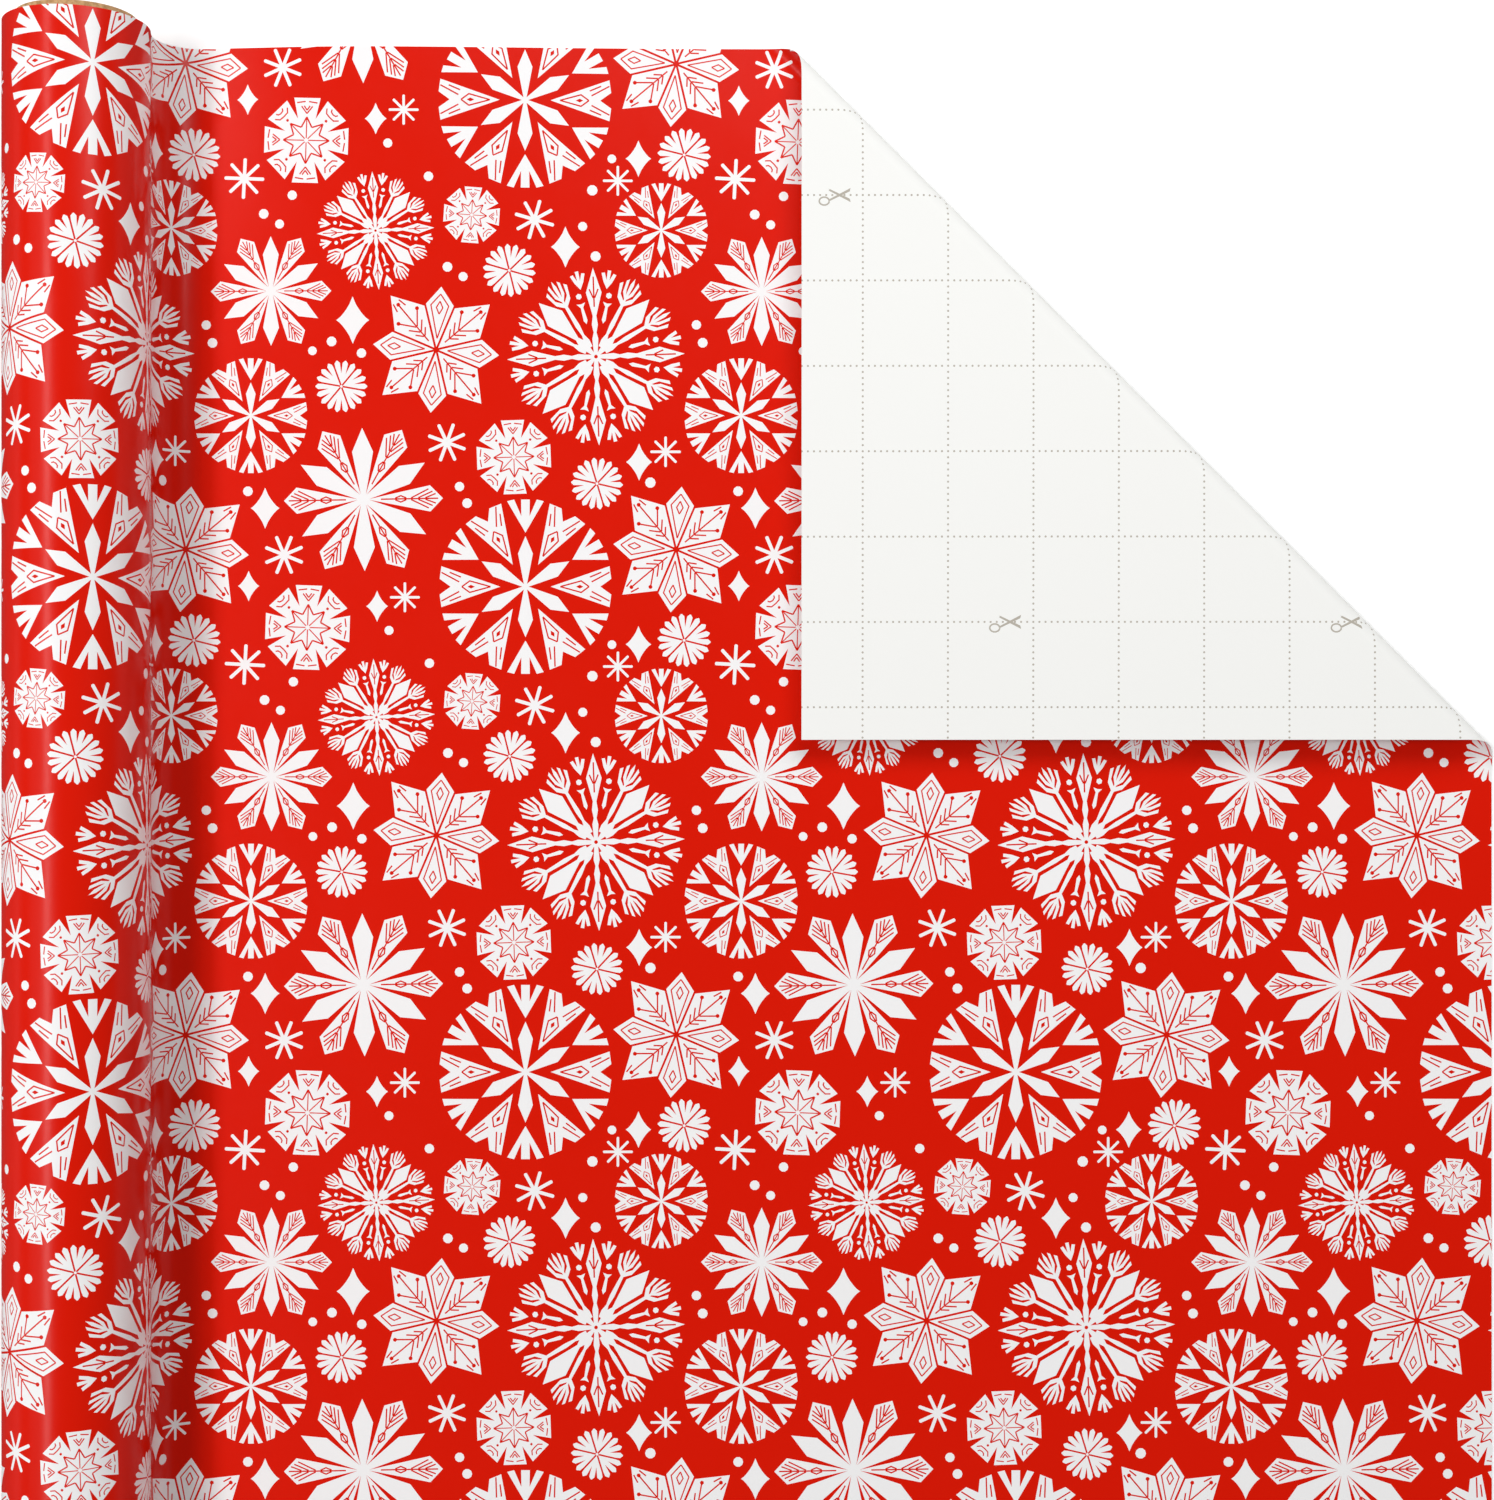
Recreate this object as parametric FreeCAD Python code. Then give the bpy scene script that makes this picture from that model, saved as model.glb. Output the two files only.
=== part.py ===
"""A roll of gift wrap with its sheet drawn off, one corner of the sheet folded over.

Frame: +X from the roll across the drawn-off sheet to its leading edge, +Y along the roll,
+Z up from the table. The origin is the bottom centre of the whole object.
"""
import FreeCAD, Part
import math
import os

# ---- Driving dimensions, in millimetres ----

# the web of paper
paper_width = 762.0            # a 30 inch web
paper_gauge = 0.1              # one layer of coated gift wrap
reach = 421.0                  # roll axis to the sheet's leading edge

# the wound roll and the arc in which the web comes off it
roll_diameter = 42.0
web_arc_radius = 12.0          # hollow arc between the roll and the table, on the printed face
web_clear_arc = 2.6            # free arc that keeps the web clear of the turning roll
web_stretches = 6              # solids that the arc is made of, side by side

# the board core, three plies wound on a mandrel
core_bore_diameter = 31.75     # 1 1/4 inch
ply_thickness = 0.5
ply_count = 3
glue_film = 0.03               # glue between two plies
core_proud = 2.5               # core past the paper at each end

# the line of glue that holds the start of the web on the core
start_glue_thickness = 0.08
start_glue_width = 8.0
start_glue_margin = 12.0       # bare core at each end of the line
start_glue_angle = 215.0       # where the line lies round the core, in degrees from +X

# the corner folded over
folded_leg = 219.5             # from the corner along each edge to where the fold starts
bend_radius = 5.0              # outer face of the soft bend
bend_hinges = 4                # the bend opens as this many equal small turns
bend_seam = 0.1                # gap between two stretches of the bend
bend_flats = 3                 # narrow flats that make up each turn of the bend

# ---- Worked out from them ----

UP = FreeCAD.Vector(0, 0, 1)
ALONG_ROLL = FreeCAD.Vector(0, 1, 0)
ALONG_FOLD = FreeCAD.Vector(1, -1, 0).normalize()
ACROSS_FOLD = FreeCAD.Vector(1, 1, 0).normalize()    # towards where the corner lay

half_width = paper_width / 2
roll_radius = roll_diameter / 2
axis_x = (roll_radius - reach) / 2
axis_z = roll_radius
leading_x = axis_x + reach

core_length = paper_width + 2 * core_proud
core_bore_radius = core_bore_diameter / 2
core_outer_radius = core_bore_radius + ply_count * ply_thickness + (ply_count - 1) * glue_film
paper_bore_radius = core_outer_radius + start_glue_thickness

web_centre_z = paper_gauge + web_arc_radius
web_centre_run = math.sqrt((roll_radius + web_arc_radius) ** 2 - (roll_radius - web_centre_z) ** 2)
web_centre_x = axis_x + web_centre_run
web_departure = math.atan2(axis_z - web_centre_z, axis_x - web_centre_x)

bend_inner_radius = bend_radius - paper_gauge
bend_middle_radius = bend_radius - paper_gauge / 2
bend_step = math.pi / bend_hinges
bend_seam_angle = bend_seam / bend_middle_radius
bend_length = math.pi * bend_middle_radius
corner_depth = folded_leg / math.sqrt(2)
corner = FreeCAD.Vector(leading_x, half_width, 0)
fold_start = corner - ACROSS_FOLD * corner_depth

# each hinge stands a little outside the bend, so that the opened bend has its flat length
hinge_radius = bend_middle_radius * (bend_step / 2) / math.sin(bend_step / 2)


def tube(outer_radius, inner_radius, length):
    """A tube along the roll's axis, centred between the roll's ends."""
    start = FreeCAD.Vector(axis_x, -length / 2, axis_z)
    outside = Part.makeCylinder(outer_radius, length, start, ALONG_ROLL)
    inside = Part.makeCylinder(inner_radius, length, start, ALONG_ROLL)
    return outside.cut(inside)


def arc_band(centre, side, up, inner_radius, outer_radius, start, end, sweep):
    """A band between two arcs about centre, extruded along sweep. Angles turn from side to up."""
    def at(radius, angle):
        return centre + side * (radius * math.cos(angle)) + up * (radius * math.sin(angle))

    middle = (start + end) / 2
    inner = Part.Arc(at(inner_radius, start), at(inner_radius, middle), at(inner_radius, end))
    outer = Part.Arc(at(outer_radius, end), at(outer_radius, middle), at(outer_radius, start))
    edges = [
        inner.toShape(),
        Part.makeLine(at(inner_radius, end), at(outer_radius, end)),
        outer.toShape(),
        Part.makeLine(at(outer_radius, start), at(inner_radius, start)),
    ]
    return Part.Face(Part.Wire(edges)).extrude(sweep)


def plate(outline, thickness):
    """A prism that stands on a flat outline; thickness is its sweep."""
    return Part.Face(Part.makePolygon(outline + outline[:1])).extrude(thickness)


def core_ply(index):
    """One ply of the core, counted from the bore."""
    inner_radius = core_bore_radius + index * (ply_thickness + glue_film)
    return tube(inner_radius + ply_thickness, inner_radius, core_length)


def start_glue_line():
    """The line of glue along the core under the first turn."""
    length = paper_width - 2 * start_glue_margin
    centre = FreeCAD.Vector(axis_x, -length / 2, axis_z)
    half_angle = start_glue_width / core_outer_radius / 2
    middle = math.radians(start_glue_angle)
    side = FreeCAD.Vector(1, 0, 0)
    span = (middle - half_angle, middle + half_angle)
    return arc_band(
        centre, side, UP, core_outer_radius, paper_bore_radius, *span, ALONG_ROLL * length
    )


def wound_paper():
    """All the turns still on the roll."""
    return tube(roll_radius, paper_bore_radius, paper_width)


def unrolling_web():
    """The web between the roll and the table, a hollow arc in stretches that meet face to face."""
    centre = FreeCAD.Vector(web_centre_x, -half_width, web_centre_z)
    start = web_departure + web_clear_arc / web_arc_radius
    step = (math.radians(270) - start) / web_stretches
    outer_radius = web_arc_radius + paper_gauge
    side = FreeCAD.Vector(1, 0, 0)
    sweep = ALONG_ROLL * paper_width
    turns = [start + step * index for index in range(web_stretches)]
    return Part.makeCompound([
        arc_band(centre, side, UP, web_arc_radius, outer_radius, turn, turn + step, sweep)
        for turn in turns
    ])


def on_sheet(along, depth, height=0.0):
    """A point of the flat sheet, along the fold's start line and in from it to the corner."""
    return fold_start + ALONG_FOLD * along + ACROSS_FOLD * depth + UP * height


def turned(angle):
    """The direction out of the bend's centre at an angle of its turn, which starts straight down."""
    return ACROSS_FOLD * math.sin(angle) - UP * math.cos(angle)


def bend_stretch(start, end):
    """The bend between two angles of its turn, with its ends on the sheet's two edges."""
    centre = on_sheet(-corner_depth, 0, bend_radius)
    turns = [start + (end - start) * step / bend_flats for step in range(bend_flats + 1)]
    inner = [centre + turned(turn) * bend_inner_radius for turn in turns]
    outer = [centre + turned(turn) * bend_radius for turn in reversed(turns)]
    band = plate(inner + outer, ALONG_FOLD * (2 * corner_depth))
    middle = (start + end) / 2
    outward = turned(middle)
    forward = ALONG_FOLD.cross(outward)
    length = corner_depth - bend_middle_radius * middle
    margin = bend_middle_radius
    base = on_sheet(0, 0, bend_radius)
    near = base - forward * margin
    far = base + forward * margin
    outline = [
        near - ALONG_FOLD * (length + margin),
        near + ALONG_FOLD * (length + margin),
        far + ALONG_FOLD * (length - margin),
        far - ALONG_FOLD * (length - margin),
    ]
    return band.common(plate(outline, outward * (2 * bend_radius)))


def flat_sheet():
    """The sheet on the table, up to the fold's first small turn."""
    fold_top = on_sheet(-corner_depth, 0)
    fold_low = on_sheet(corner_depth, 0)
    outline = [
        FreeCAD.Vector(web_centre_x, -half_width, 0),
        FreeCAD.Vector(leading_x, -half_width, 0),
        fold_low,
        fold_top,
        FreeCAD.Vector(web_centre_x, half_width, 0),
    ]
    lip = bend_stretch(0, bend_step / 2 - bend_seam_angle / 2)
    return plate(outline, UP * paper_gauge).fuse(lip).removeSplitter()


def corner_bend(index):
    """One stretch of the bend between two of its hinges, counted from the sheet."""
    start = (index - 0.5) * bend_step + bend_seam_angle / 2
    return bend_stretch(start, start + bend_step - bend_seam_angle)


def corner_flap():
    """The folded corner, lying back over the sheet with its unprinted side up."""
    depth = corner_depth - bend_length
    height = 2 * bend_radius - paper_gauge
    outline = [on_sheet(-depth, 0, height), on_sheet(0, -depth, height), on_sheet(depth, 0, height)]
    lip = bend_stretch(math.pi - bend_step / 2 + bend_seam_angle / 2, math.pi)
    return plate(outline, UP * paper_gauge).fuse(lip).removeSplitter()


def save(name, shape):
    """Write one node and print what it holds."""
    shape.exportStep(f"parts/{name}.step")
    box = shape.BoundBox
    print(f"{name}: volume {shape.Volume:.1f}, solids {len(shape.Solids)}, valid {shape.isValid()}, "
          f"box {box.XMin:.2f} {box.YMin:.2f} {box.ZMin:.2f} to {box.XMax:.2f} {box.YMax:.2f} {box.ZMax:.2f}")


os.makedirs("parts", exist_ok=True)
for ply_index, ply_name in enumerate(["core_inner_ply", "core_middle_ply", "core_outer_ply"]):
    save(ply_name, core_ply(ply_index))
save("start_glue_line", start_glue_line())
save("wound_paper", wound_paper())
save("unrolling_web", unrolling_web())
save("flat_sheet", flat_sheet())
for bend_index in range(1, bend_hinges):
    save(f"corner_bend_{bend_index}", corner_bend(bend_index))
save("corner_flap", corner_flap())

for hinge_index in range(bend_hinges):
    turn = (hinge_index + 0.5) * bend_step
    place = on_sheet(0, hinge_radius * math.sin(turn), bend_radius - hinge_radius * math.cos(turn))
    print(f"bend hinge {hinge_index + 1}: {place.x:.4f} {place.y:.4f} {place.z:.4f}")
print(f"roll axis: {axis_x:.3f} {axis_z:.3f}, core length {core_length:.2f}")
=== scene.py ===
"""Looks of a gift wrap roll: the printed web, its soft fold, the wound roll and the board core."""

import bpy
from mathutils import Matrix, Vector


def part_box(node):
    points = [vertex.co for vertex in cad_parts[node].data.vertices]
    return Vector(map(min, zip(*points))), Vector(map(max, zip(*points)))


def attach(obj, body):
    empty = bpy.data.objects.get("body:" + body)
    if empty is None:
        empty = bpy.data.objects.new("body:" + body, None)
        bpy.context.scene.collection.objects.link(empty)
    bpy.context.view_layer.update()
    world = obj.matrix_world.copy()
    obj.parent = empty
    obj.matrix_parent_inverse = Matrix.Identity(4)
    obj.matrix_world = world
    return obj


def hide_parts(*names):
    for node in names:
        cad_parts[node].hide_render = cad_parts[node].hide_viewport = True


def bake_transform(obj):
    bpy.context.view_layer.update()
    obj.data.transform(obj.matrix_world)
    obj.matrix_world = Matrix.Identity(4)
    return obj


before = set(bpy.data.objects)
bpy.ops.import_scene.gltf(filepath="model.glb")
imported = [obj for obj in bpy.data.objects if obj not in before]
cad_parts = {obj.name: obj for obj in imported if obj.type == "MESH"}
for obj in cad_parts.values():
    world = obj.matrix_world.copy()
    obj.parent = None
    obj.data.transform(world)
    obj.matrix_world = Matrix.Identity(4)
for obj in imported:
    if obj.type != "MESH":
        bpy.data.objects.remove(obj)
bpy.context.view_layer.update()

import math

import bpy
import numpy as np
from bpy.props import FloatProperty, FloatVectorProperty, IntProperty, PointerProperty
from mathutils import Vector
from mathutils.geometry import delaunay_2d_cdt

bl_info = {
    "name": "Gift wrap roll",
    "version": (1, 0, 0),
    "blender": (4, 5, 0),
    "location": "3D View > Sidebar > Gift wrap",
    "description": "Prints, winds and folds a roll of gift wrap around its CAD frame",
    "category": "Object",
}

MM = 0.001
FLOOR_REACH = 40.0         # metres from the middle of the floor to its sides, so it runs on to the horizon
FLOOR_GAP = 0.0005         # metres between the floor and the paper's underside
NORMAL_STEP = 0.01         # mm on each side of a point, over which its normal is found
ROUND_STEPS = 72           # corners once round the wind
START_GLUE = 0.08          # mm by which the line of glue lifts the first turn off the core
WIND_CLEARANCE = 0.01      # mm between the outermost turn and the wind below it
WIND_INSET = 0.5           # mm from the web's edge to the wind's outer and inner walls


# ---- Colour and material helpers ----

def linear(hex_colour):
    """sRGB hex to linear red, green and blue."""
    channels = [int(hex_colour[i:i + 2], 16) / 255 for i in (0, 2, 4)]
    return [c / 12.92 if c <= 0.04045 else ((c + 0.055) / 1.055) ** 2.4 for c in channels]


def add_node(tree, kind, inputs=(), **settings):
    """Adds a node, sets its settings, and sets or links each input given as (socket, value or output)."""
    node = tree.nodes.new(kind)
    for name, value in settings.items():
        setattr(node, name, value)
    for socket, value in inputs:
        if isinstance(value, bpy.types.NodeSocket):
            tree.links.new(value, node.inputs[socket])
        else:
            node.inputs[socket].default_value = value
    return node


def new_material(name, colour, roughness, ior=1.4):
    """A material with its Principled shader, ready for its nodes."""
    material = bpy.data.materials.new(name)
    material.use_nodes = True
    shader = material.node_tree.nodes["Principled BSDF"]
    shader.inputs["Base Color"].default_value = (*colour, 1.0)
    shader.inputs["Roughness"].default_value = roughness
    shader.inputs["IOR"].default_value = ior
    return material, material.node_tree, shader


def noise(tree, where, size_mm, detail=4.0, roughness=0.55):
    """Noise whose features are about size_mm across, on coordinates in metres."""
    return add_node(
        tree, "ShaderNodeTexNoise",
        [("Vector", where), ("Scale", 1 / (size_mm * MM)), ("Detail", detail), ("Roughness", roughness)],
    ).outputs["Fac"]


def spread(tree, value, low, high):
    """Maps noise, which mostly lies between 0.3 and 0.7, to low to high."""
    return add_node(
        tree, "ShaderNodeMapRange",
        [("Value", value), ("From Min", 0.3), ("From Max", 0.7), ("To Min", low), ("To Max", high)],
    ).outputs["Result"]


def bump(tree, height, depth_mm, normal=None):
    """A bump of depth_mm where height goes from 0 to 1."""
    inputs = [("Height", height), ("Strength", 1.0), ("Distance", depth_mm * MM)]
    if normal is not None:
        inputs.append(("Normal", normal))
    return add_node(tree, "ShaderNodeBump", inputs).outputs["Normal"]


def paper_coordinates(tree):
    """Places on the unrolled web, in metres."""
    return add_node(tree, "ShaderNodeUVMap", uv_map="web").outputs["UV"]


def clay_coated_paper(name, colour, gloss):
    """Clay-coated paper, calendered: an even soft gloss with a faint cloudiness from the fibres below."""
    material, tree, shader = new_material(name, colour, gloss)
    where = paper_coordinates(tree)
    cloud = noise(tree, where, 9.0, detail=3.0)
    tree.links.new(spread(tree, cloud, gloss - 0.015, gloss + 0.015), shader.inputs["Roughness"])
    shader.inputs["Specular IOR Level"].default_value = 0.35
    # Cockles a finger wide let the gloss waver. The coating's tooth is really about 0.05 mm across,
    # too fine to show, and is drawn ten times as coarse.
    cockle = bump(tree, noise(tree, where, 22.0, detail=1.0), 0.05)
    tooth = bump(tree, noise(tree, where, 0.5), 0.004, cockle)
    tree.links.new(tooth, shader.inputs["Normal"])
    return material


def uncoated_paper(name, colour, gloss):
    """Machine-finished paper, uncoated: matte, with a fibre tooth that catches grazing light."""
    material, tree, shader = new_material(name, colour, gloss)
    where = paper_coordinates(tree)
    patches = spread(tree, noise(tree, where, 4.0), gloss - 0.04, gloss + 0.08)
    tree.links.new(patches, shader.inputs["Roughness"])
    # Fibres are about 0.03 mm wide and 1 mm long; their tangle is drawn 0.7 mm coarse so that it shows.
    fibre = bump(tree, noise(tree, where, 0.7, detail=6.0), 0.012)
    tree.links.new(bump(tree, noise(tree, where, 18.0, detail=1.0), 0.04, fibre), shader.inputs["Normal"])
    return material


def wound_board(name):
    """Recycled chipboard, spiral wound: tan with grey and pale fibre flecks, dull, slightly hairy."""
    material, tree, shader = new_material(name, linear("B98E5E"), 0.85)
    where = add_node(tree, "ShaderNodeTexCoord").outputs["Object"]
    # Flecks of waste paper in the board are one to two millimetres across.
    flecks = noise(tree, where, 1.6, detail=8.0, roughness=0.7)
    ramp = add_node(tree, "ShaderNodeValToRGB", [("Fac", flecks)])
    ramp.color_ramp.elements[0].position = 0.32
    ramp.color_ramp.elements[0].color = (*linear("9C7346"), 1.0)
    ramp.color_ramp.elements[1].position = 0.68
    ramp.color_ramp.elements[1].color = (*linear("D9B384"), 1.0)
    tree.links.new(ramp.outputs["Color"], shader.inputs["Base Color"])
    tree.links.new(spread(tree, flecks, 0.78, 0.92), shader.inputs["Roughness"])
    tree.links.new(bump(tree, flecks, 0.05), shader.inputs["Normal"])
    return material


def dried_glue(name):
    """Dextrin glue, rolled on and dried: pale amber, half gloss, slightly rippled."""
    material, tree, shader = new_material(name, linear("E4D6B0"), 0.4)
    where = add_node(tree, "ShaderNodeTexCoord").outputs["Object"]
    ripple = noise(tree, where, 2.5)
    tree.links.new(spread(tree, ripple, 0.3, 0.5), shader.inputs["Roughness"])
    tree.links.new(bump(tree, ripple, 0.03), shader.inputs["Normal"])
    return material


# ---- Settings ----

class GiftWrapPaper(bpy.types.PropertyGroup):
    """Sizes of the paper, its fold and its wind."""
    gauge: FloatProperty(
        name="Gauge", description="Thickness of the paper", default=0.1 * MM, unit="LENGTH", precision=5)
    web_arc: FloatProperty(
        name="Web arc", description="Radius of the hollow arc between the roll and the table",
        default=12.0 * MM, unit="LENGTH")
    edge_lift: FloatProperty(
        name="Edge lift", description="Height of the wave along the sheet's far edge",
        default=2.8 * MM, unit="LENGTH")
    ripple: FloatProperty(
        name="Ripple", description="Height of the slow ripple over the whole sheet",
        default=0.3 * MM, unit="LENGTH")
    droop: FloatProperty(
        name="Droop", description="How far the folded corner's tip sags below its fold",
        default=2.0 * MM, unit="LENGTH")
    drawn_turns: IntProperty(
        name="Drawn turns", description="Turns drawn on the roll's ends, coarser than the real ones",
        default=16, min=4)
    mesh_size: FloatProperty(
        name="Mesh size", description="Spacing of the mesh where nothing else divides the paper",
        default=18.0 * MM, unit="LENGTH")


class GiftWrapPrint(bpy.types.PropertyGroup):
    """The snowflake print and the cutting grid."""
    repeat_along: FloatProperty(
        name="Repeat along", description="Print repeat along the web", default=148.0 * MM, unit="LENGTH")
    repeat_across: FloatProperty(
        name="Repeat across", description="Print repeat across the web", default=146.5 * MM, unit="LENGTH")
    offset: FloatProperty(
        name="Offset", description="Shift of the print along the web", default=0.3 * MM, unit="LENGTH")
    ink: FloatVectorProperty(
        name="Ink", description="Colour of the ground", subtype="COLOR", default=linear("DC1803"))
    white: FloatVectorProperty(
        name="White", description="Coated paper where no ink is", subtype="COLOR", default=linear("F7F6F6"))
    back: FloatVectorProperty(
        name="Back", description="Unprinted side", subtype="COLOR", default=linear("F5F5F2"))
    grid_ink: FloatVectorProperty(
        name="Grid ink", description="Dots of the cutting grid", subtype="COLOR", default=linear("B5AEA2"))
    grid_pitch: FloatProperty(
        name="Grid pitch", description="Side of a cutting square", default=25.4 * MM, unit="LENGTH")
    dots_per_pitch: IntProperty(
        name="Dots", description="Dots along one side of a square", default=14, min=2)
    dot_size: FloatProperty(
        name="Dot size", description="Diameter of a dot", default=0.68 * MM, unit="LENGTH")
    grid_from_side: FloatProperty(
        name="Grid from side", description="First line from the web's far side",
        default=18.2 * MM, unit="LENGTH")
    grid_from_end: FloatProperty(
        name="Grid from end", description="First line from the web's end", default=9.7 * MM, unit="LENGTH")
    scissors_size: FloatProperty(
        name="Scissors size", description="Half the length of the scissors mark",
        default=5.0 * MM, unit="LENGTH")


class GiftWrapStage(bpy.types.PropertyGroup):
    """Camera and light."""
    camera_height: FloatProperty(
        name="Camera height", description="Above the table", default=0.687, unit="LENGTH")
    lens: FloatProperty(name="Lens", description="Focal length", default=54.6, unit="CAMERA")
    camera_place: FloatVectorProperty(
        name="Camera place", description="Over the table", size=2, subtype="XYZ", default=(-0.0038, 0.1694))
    overhead_power: FloatProperty(
        name="Overhead strength", description="Broad light from above, watts per square metre", default=1.2)
    overhead_tilt: FloatProperty(
        name="Overhead tilt", description="How far the broad light leans to the roll's side",
        default=math.radians(23), subtype="ANGLE")
    overhead_spread: FloatProperty(
        name="Overhead spread", description="How wide the broad light looks from the table",
        default=math.radians(16), subtype="ANGLE")
    far_power: FloatProperty(
        name="Far power", description="Softbox beyond the sheet", default=9.3, unit="POWER")
    side_power: FloatProperty(
        name="Side power", description="Softbox beside the roll", default=1.0, unit="POWER")
    strip_power: FloatProperty(
        name="Strip power", description="Narrow light for the gloss", default=3.6, unit="POWER")
    fill_strength: FloatProperty(
        name="Fill", description="Light from the room above", default=0.07)
    wall_strength: FloatProperty(
        name="Walls", description="Light from the pale walls all round", default=0.57)
    table_glow: FloatProperty(
        name="Table glow", description="Light from below through the white table", default=0.12)


# ---- The print: motifs of a unit radius, as (is white, outline) pairs ----

def turned(points, degrees):
    """Points turned about the origin."""
    angle = math.radians(degrees)
    cosine, sine = math.cos(angle), math.sin(angle)
    return [(a * cosine - s * sine, a * sine + s * cosine) for a, s in points]


def both_sides(half):
    """A whole outline from the half on one side of an arm."""
    return half + [(a, -s) for a, s in reversed(half) if abs(s) > 1e-9]


def stroke(run, width):
    """The outline of a line of that width along a run of points, mitred at its bends."""
    points = [Vector(p) for p in run]
    left, right = [], []
    for k, point in enumerate(points):
        before = (point - points[k - 1]).normalized() if k else None
        after = (points[k + 1] - point).normalized() if k + 1 < len(points) else None
        way = ((before or after) + (after or before)).normalized()
        side = Vector((-way.y, way.x)) * (width / 2 / max(way.dot(after or before), 0.4))
        left.append(tuple(point + side))
        right.append(tuple(point - side))
    return left + right[::-1]


def disc(centre, radius, corners=10):
    """A round dot."""
    turns = [2 * math.pi * k / corners for k in range(corners)]
    return [(centre[0] + radius * math.cos(t), centre[1] + radius * math.sin(t)) for t in turns]


def ring_of(count, start, shapes):
    """Shapes repeated round the centre, the first copy turned to start degrees."""
    return [
        (white, turned(outline, start + 360 / count * k))
        for k in range(count) for white, outline in shapes
    ]


def inked(width, *runs):
    """Ink lines along each run of points, mirrored across the arm where a run leaves it."""
    gain = 1.25  # wet ink prints a line a little wider than it was drawn
    shapes = []
    for run in runs:
        shapes.append((False, stroke(run, width * gain)))
        if any(abs(s) > 1e-9 for a, s in run):
            shapes.append((False, stroke([(a, -s) for a, s in run], width * gain)))
    return shapes


def snow_wheel():
    """Six rhombs in the hub, six forked blades, and six combs on the rim."""
    rhomb = both_sides([(0.0, 0.012), (0.38, 0.085), (0.58, 0.0)])
    comb = both_sides([(0.62, 0.0), (0.98, 0.21), (1.0, 0.13), (0.81, 0.047), (1.0, 0.05)])
    blade = both_sides([(0.29, 0.0), (0.965, 0.235), (0.985, 0.09), (0.86, 0.0)])
    marks = inked(
        0.013,
        [(0.4, 0.0), (0.64, 0.066), (0.73, 0.0)],
        [(0.76, 0.055), (0.965, 0.165)],
        [(0.74, 0.11), (0.87, 0.165)],
    ) + [(False, both_sides([(0.58, 0.0), (0.625, 0.022), (0.665, 0.0)]))]
    return ring_of(6, 30, [(True, rhomb), (True, comb)]) + ring_of(6, 0, [(True, blade)] + marks)


def petal_star():
    """Four kites and four broad leaves with twigs."""
    kite = both_sides([(0.04, 0.0), (0.63, 0.195), (0.885, 0.0)])
    leaf = both_sides([(0.04, 0.0), (0.575, 0.272), (0.985, 0.0)])
    kite_marks = inked(
        0.014,
        [(0.16, 0.0), (0.62, 0.125), (0.78, 0.0)],
        [(0.5, 0.0), (0.59, 0.045), (0.68, 0.0)],
    )
    twig = inked(
        0.016,
        [(0.16, 0.0), (0.8, 0.0)],
        [(0.42, 0.01), (0.6, 0.16)],
        [(0.33, 0.01), (0.45, 0.12)],
        [(0.25, 0.01), (0.34, 0.09)],
        [(0.75, 0.075), (0.87, 0.05)],
    )
    berries = [(False, disc(at, 0.03, 6)) for at in ((0.82, 0.0), (0.615, 0.17), (0.615, -0.17))]
    return ring_of(4, 0, [(True, kite)] + kite_marks) + ring_of(4, 45, [(True, leaf)] + twig + berries)


def twelve_petals():
    """Six plain petals between six feathered ones."""
    plain = both_sides([(0.0, 0.02), (0.6, 0.132), (0.9, 0.0)])
    feathered = both_sides([(0.05, 0.0), (0.84, 0.165), (1.0, 0.0)])
    marks = inked(
        0.014,
        [(0.22, 0.0), (0.94, 0.0)],
        [(0.4, 0.01), (0.47, 0.04), (0.54, 0.01)],
        [(0.6, 0.01), (0.82, 0.12)],
        [(0.69, 0.01), (0.87, 0.09)],
        [(0.78, 0.01), (0.91, 0.06)],
    )
    return ring_of(6, 30, [(True, plain)]) + ring_of(6, 0, [(True, feathered)] + marks)


def paddle_wheel():
    """Eight flared paddles round an inked star."""
    outline = []
    for k in range(8):
        outline += turned([(0.985, -0.31), (0.985, 0.31)], 45 * k) + turned([(0.54, 0.0)], 45 * k + 22.5)
    star = inked(0.028, [(0.54, 0.0), (0.3, 0.124)]) + inked(0.02, [(0.05, 0.0), (0.5, 0.0)])
    chevron = inked(
        0.024, [(0.62, 0.0), (0.79, 0.13)], [(0.7, 0.0), (0.8, 0.07)], [(0.9, 0.04), (0.87, 0.24)])
    bow = inked(0.024, [(0.76, 0.0), (0.77, 0.12), (0.86, 0.2)], [(0.86, 0.0), (0.88, 0.07), (0.93, 0.1)])
    return (
        [(True, outline)]
        + ring_of(8, 0, star)
        + ring_of(4, 0, chevron)
        + ring_of(4, 45, bow + [(False, disc((0.64, 0.0), 0.035, 6))])
    )


def burst():
    """Eighteen round-ended petals with six inked spokes."""
    outline = []
    for k in range(18):
        outline += turned([(0.9, -0.105), (1.0, -0.02), (1.0, 0.02), (0.9, 0.105)], 20 * k)
        outline += turned([(0.5, 0.0)], 20 * k + 10)
    return [(True, outline)] + ring_of(6, 10, inked(0.05, [(0.05, 0.0), (0.74, 0.0)]))


def asterisk():
    """Eight round-ended strokes."""
    return ring_of(8, 0, [(True, both_sides([(0.0, 0.085), (0.95, 0.085), (1.0, 0.04)]))])


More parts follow.
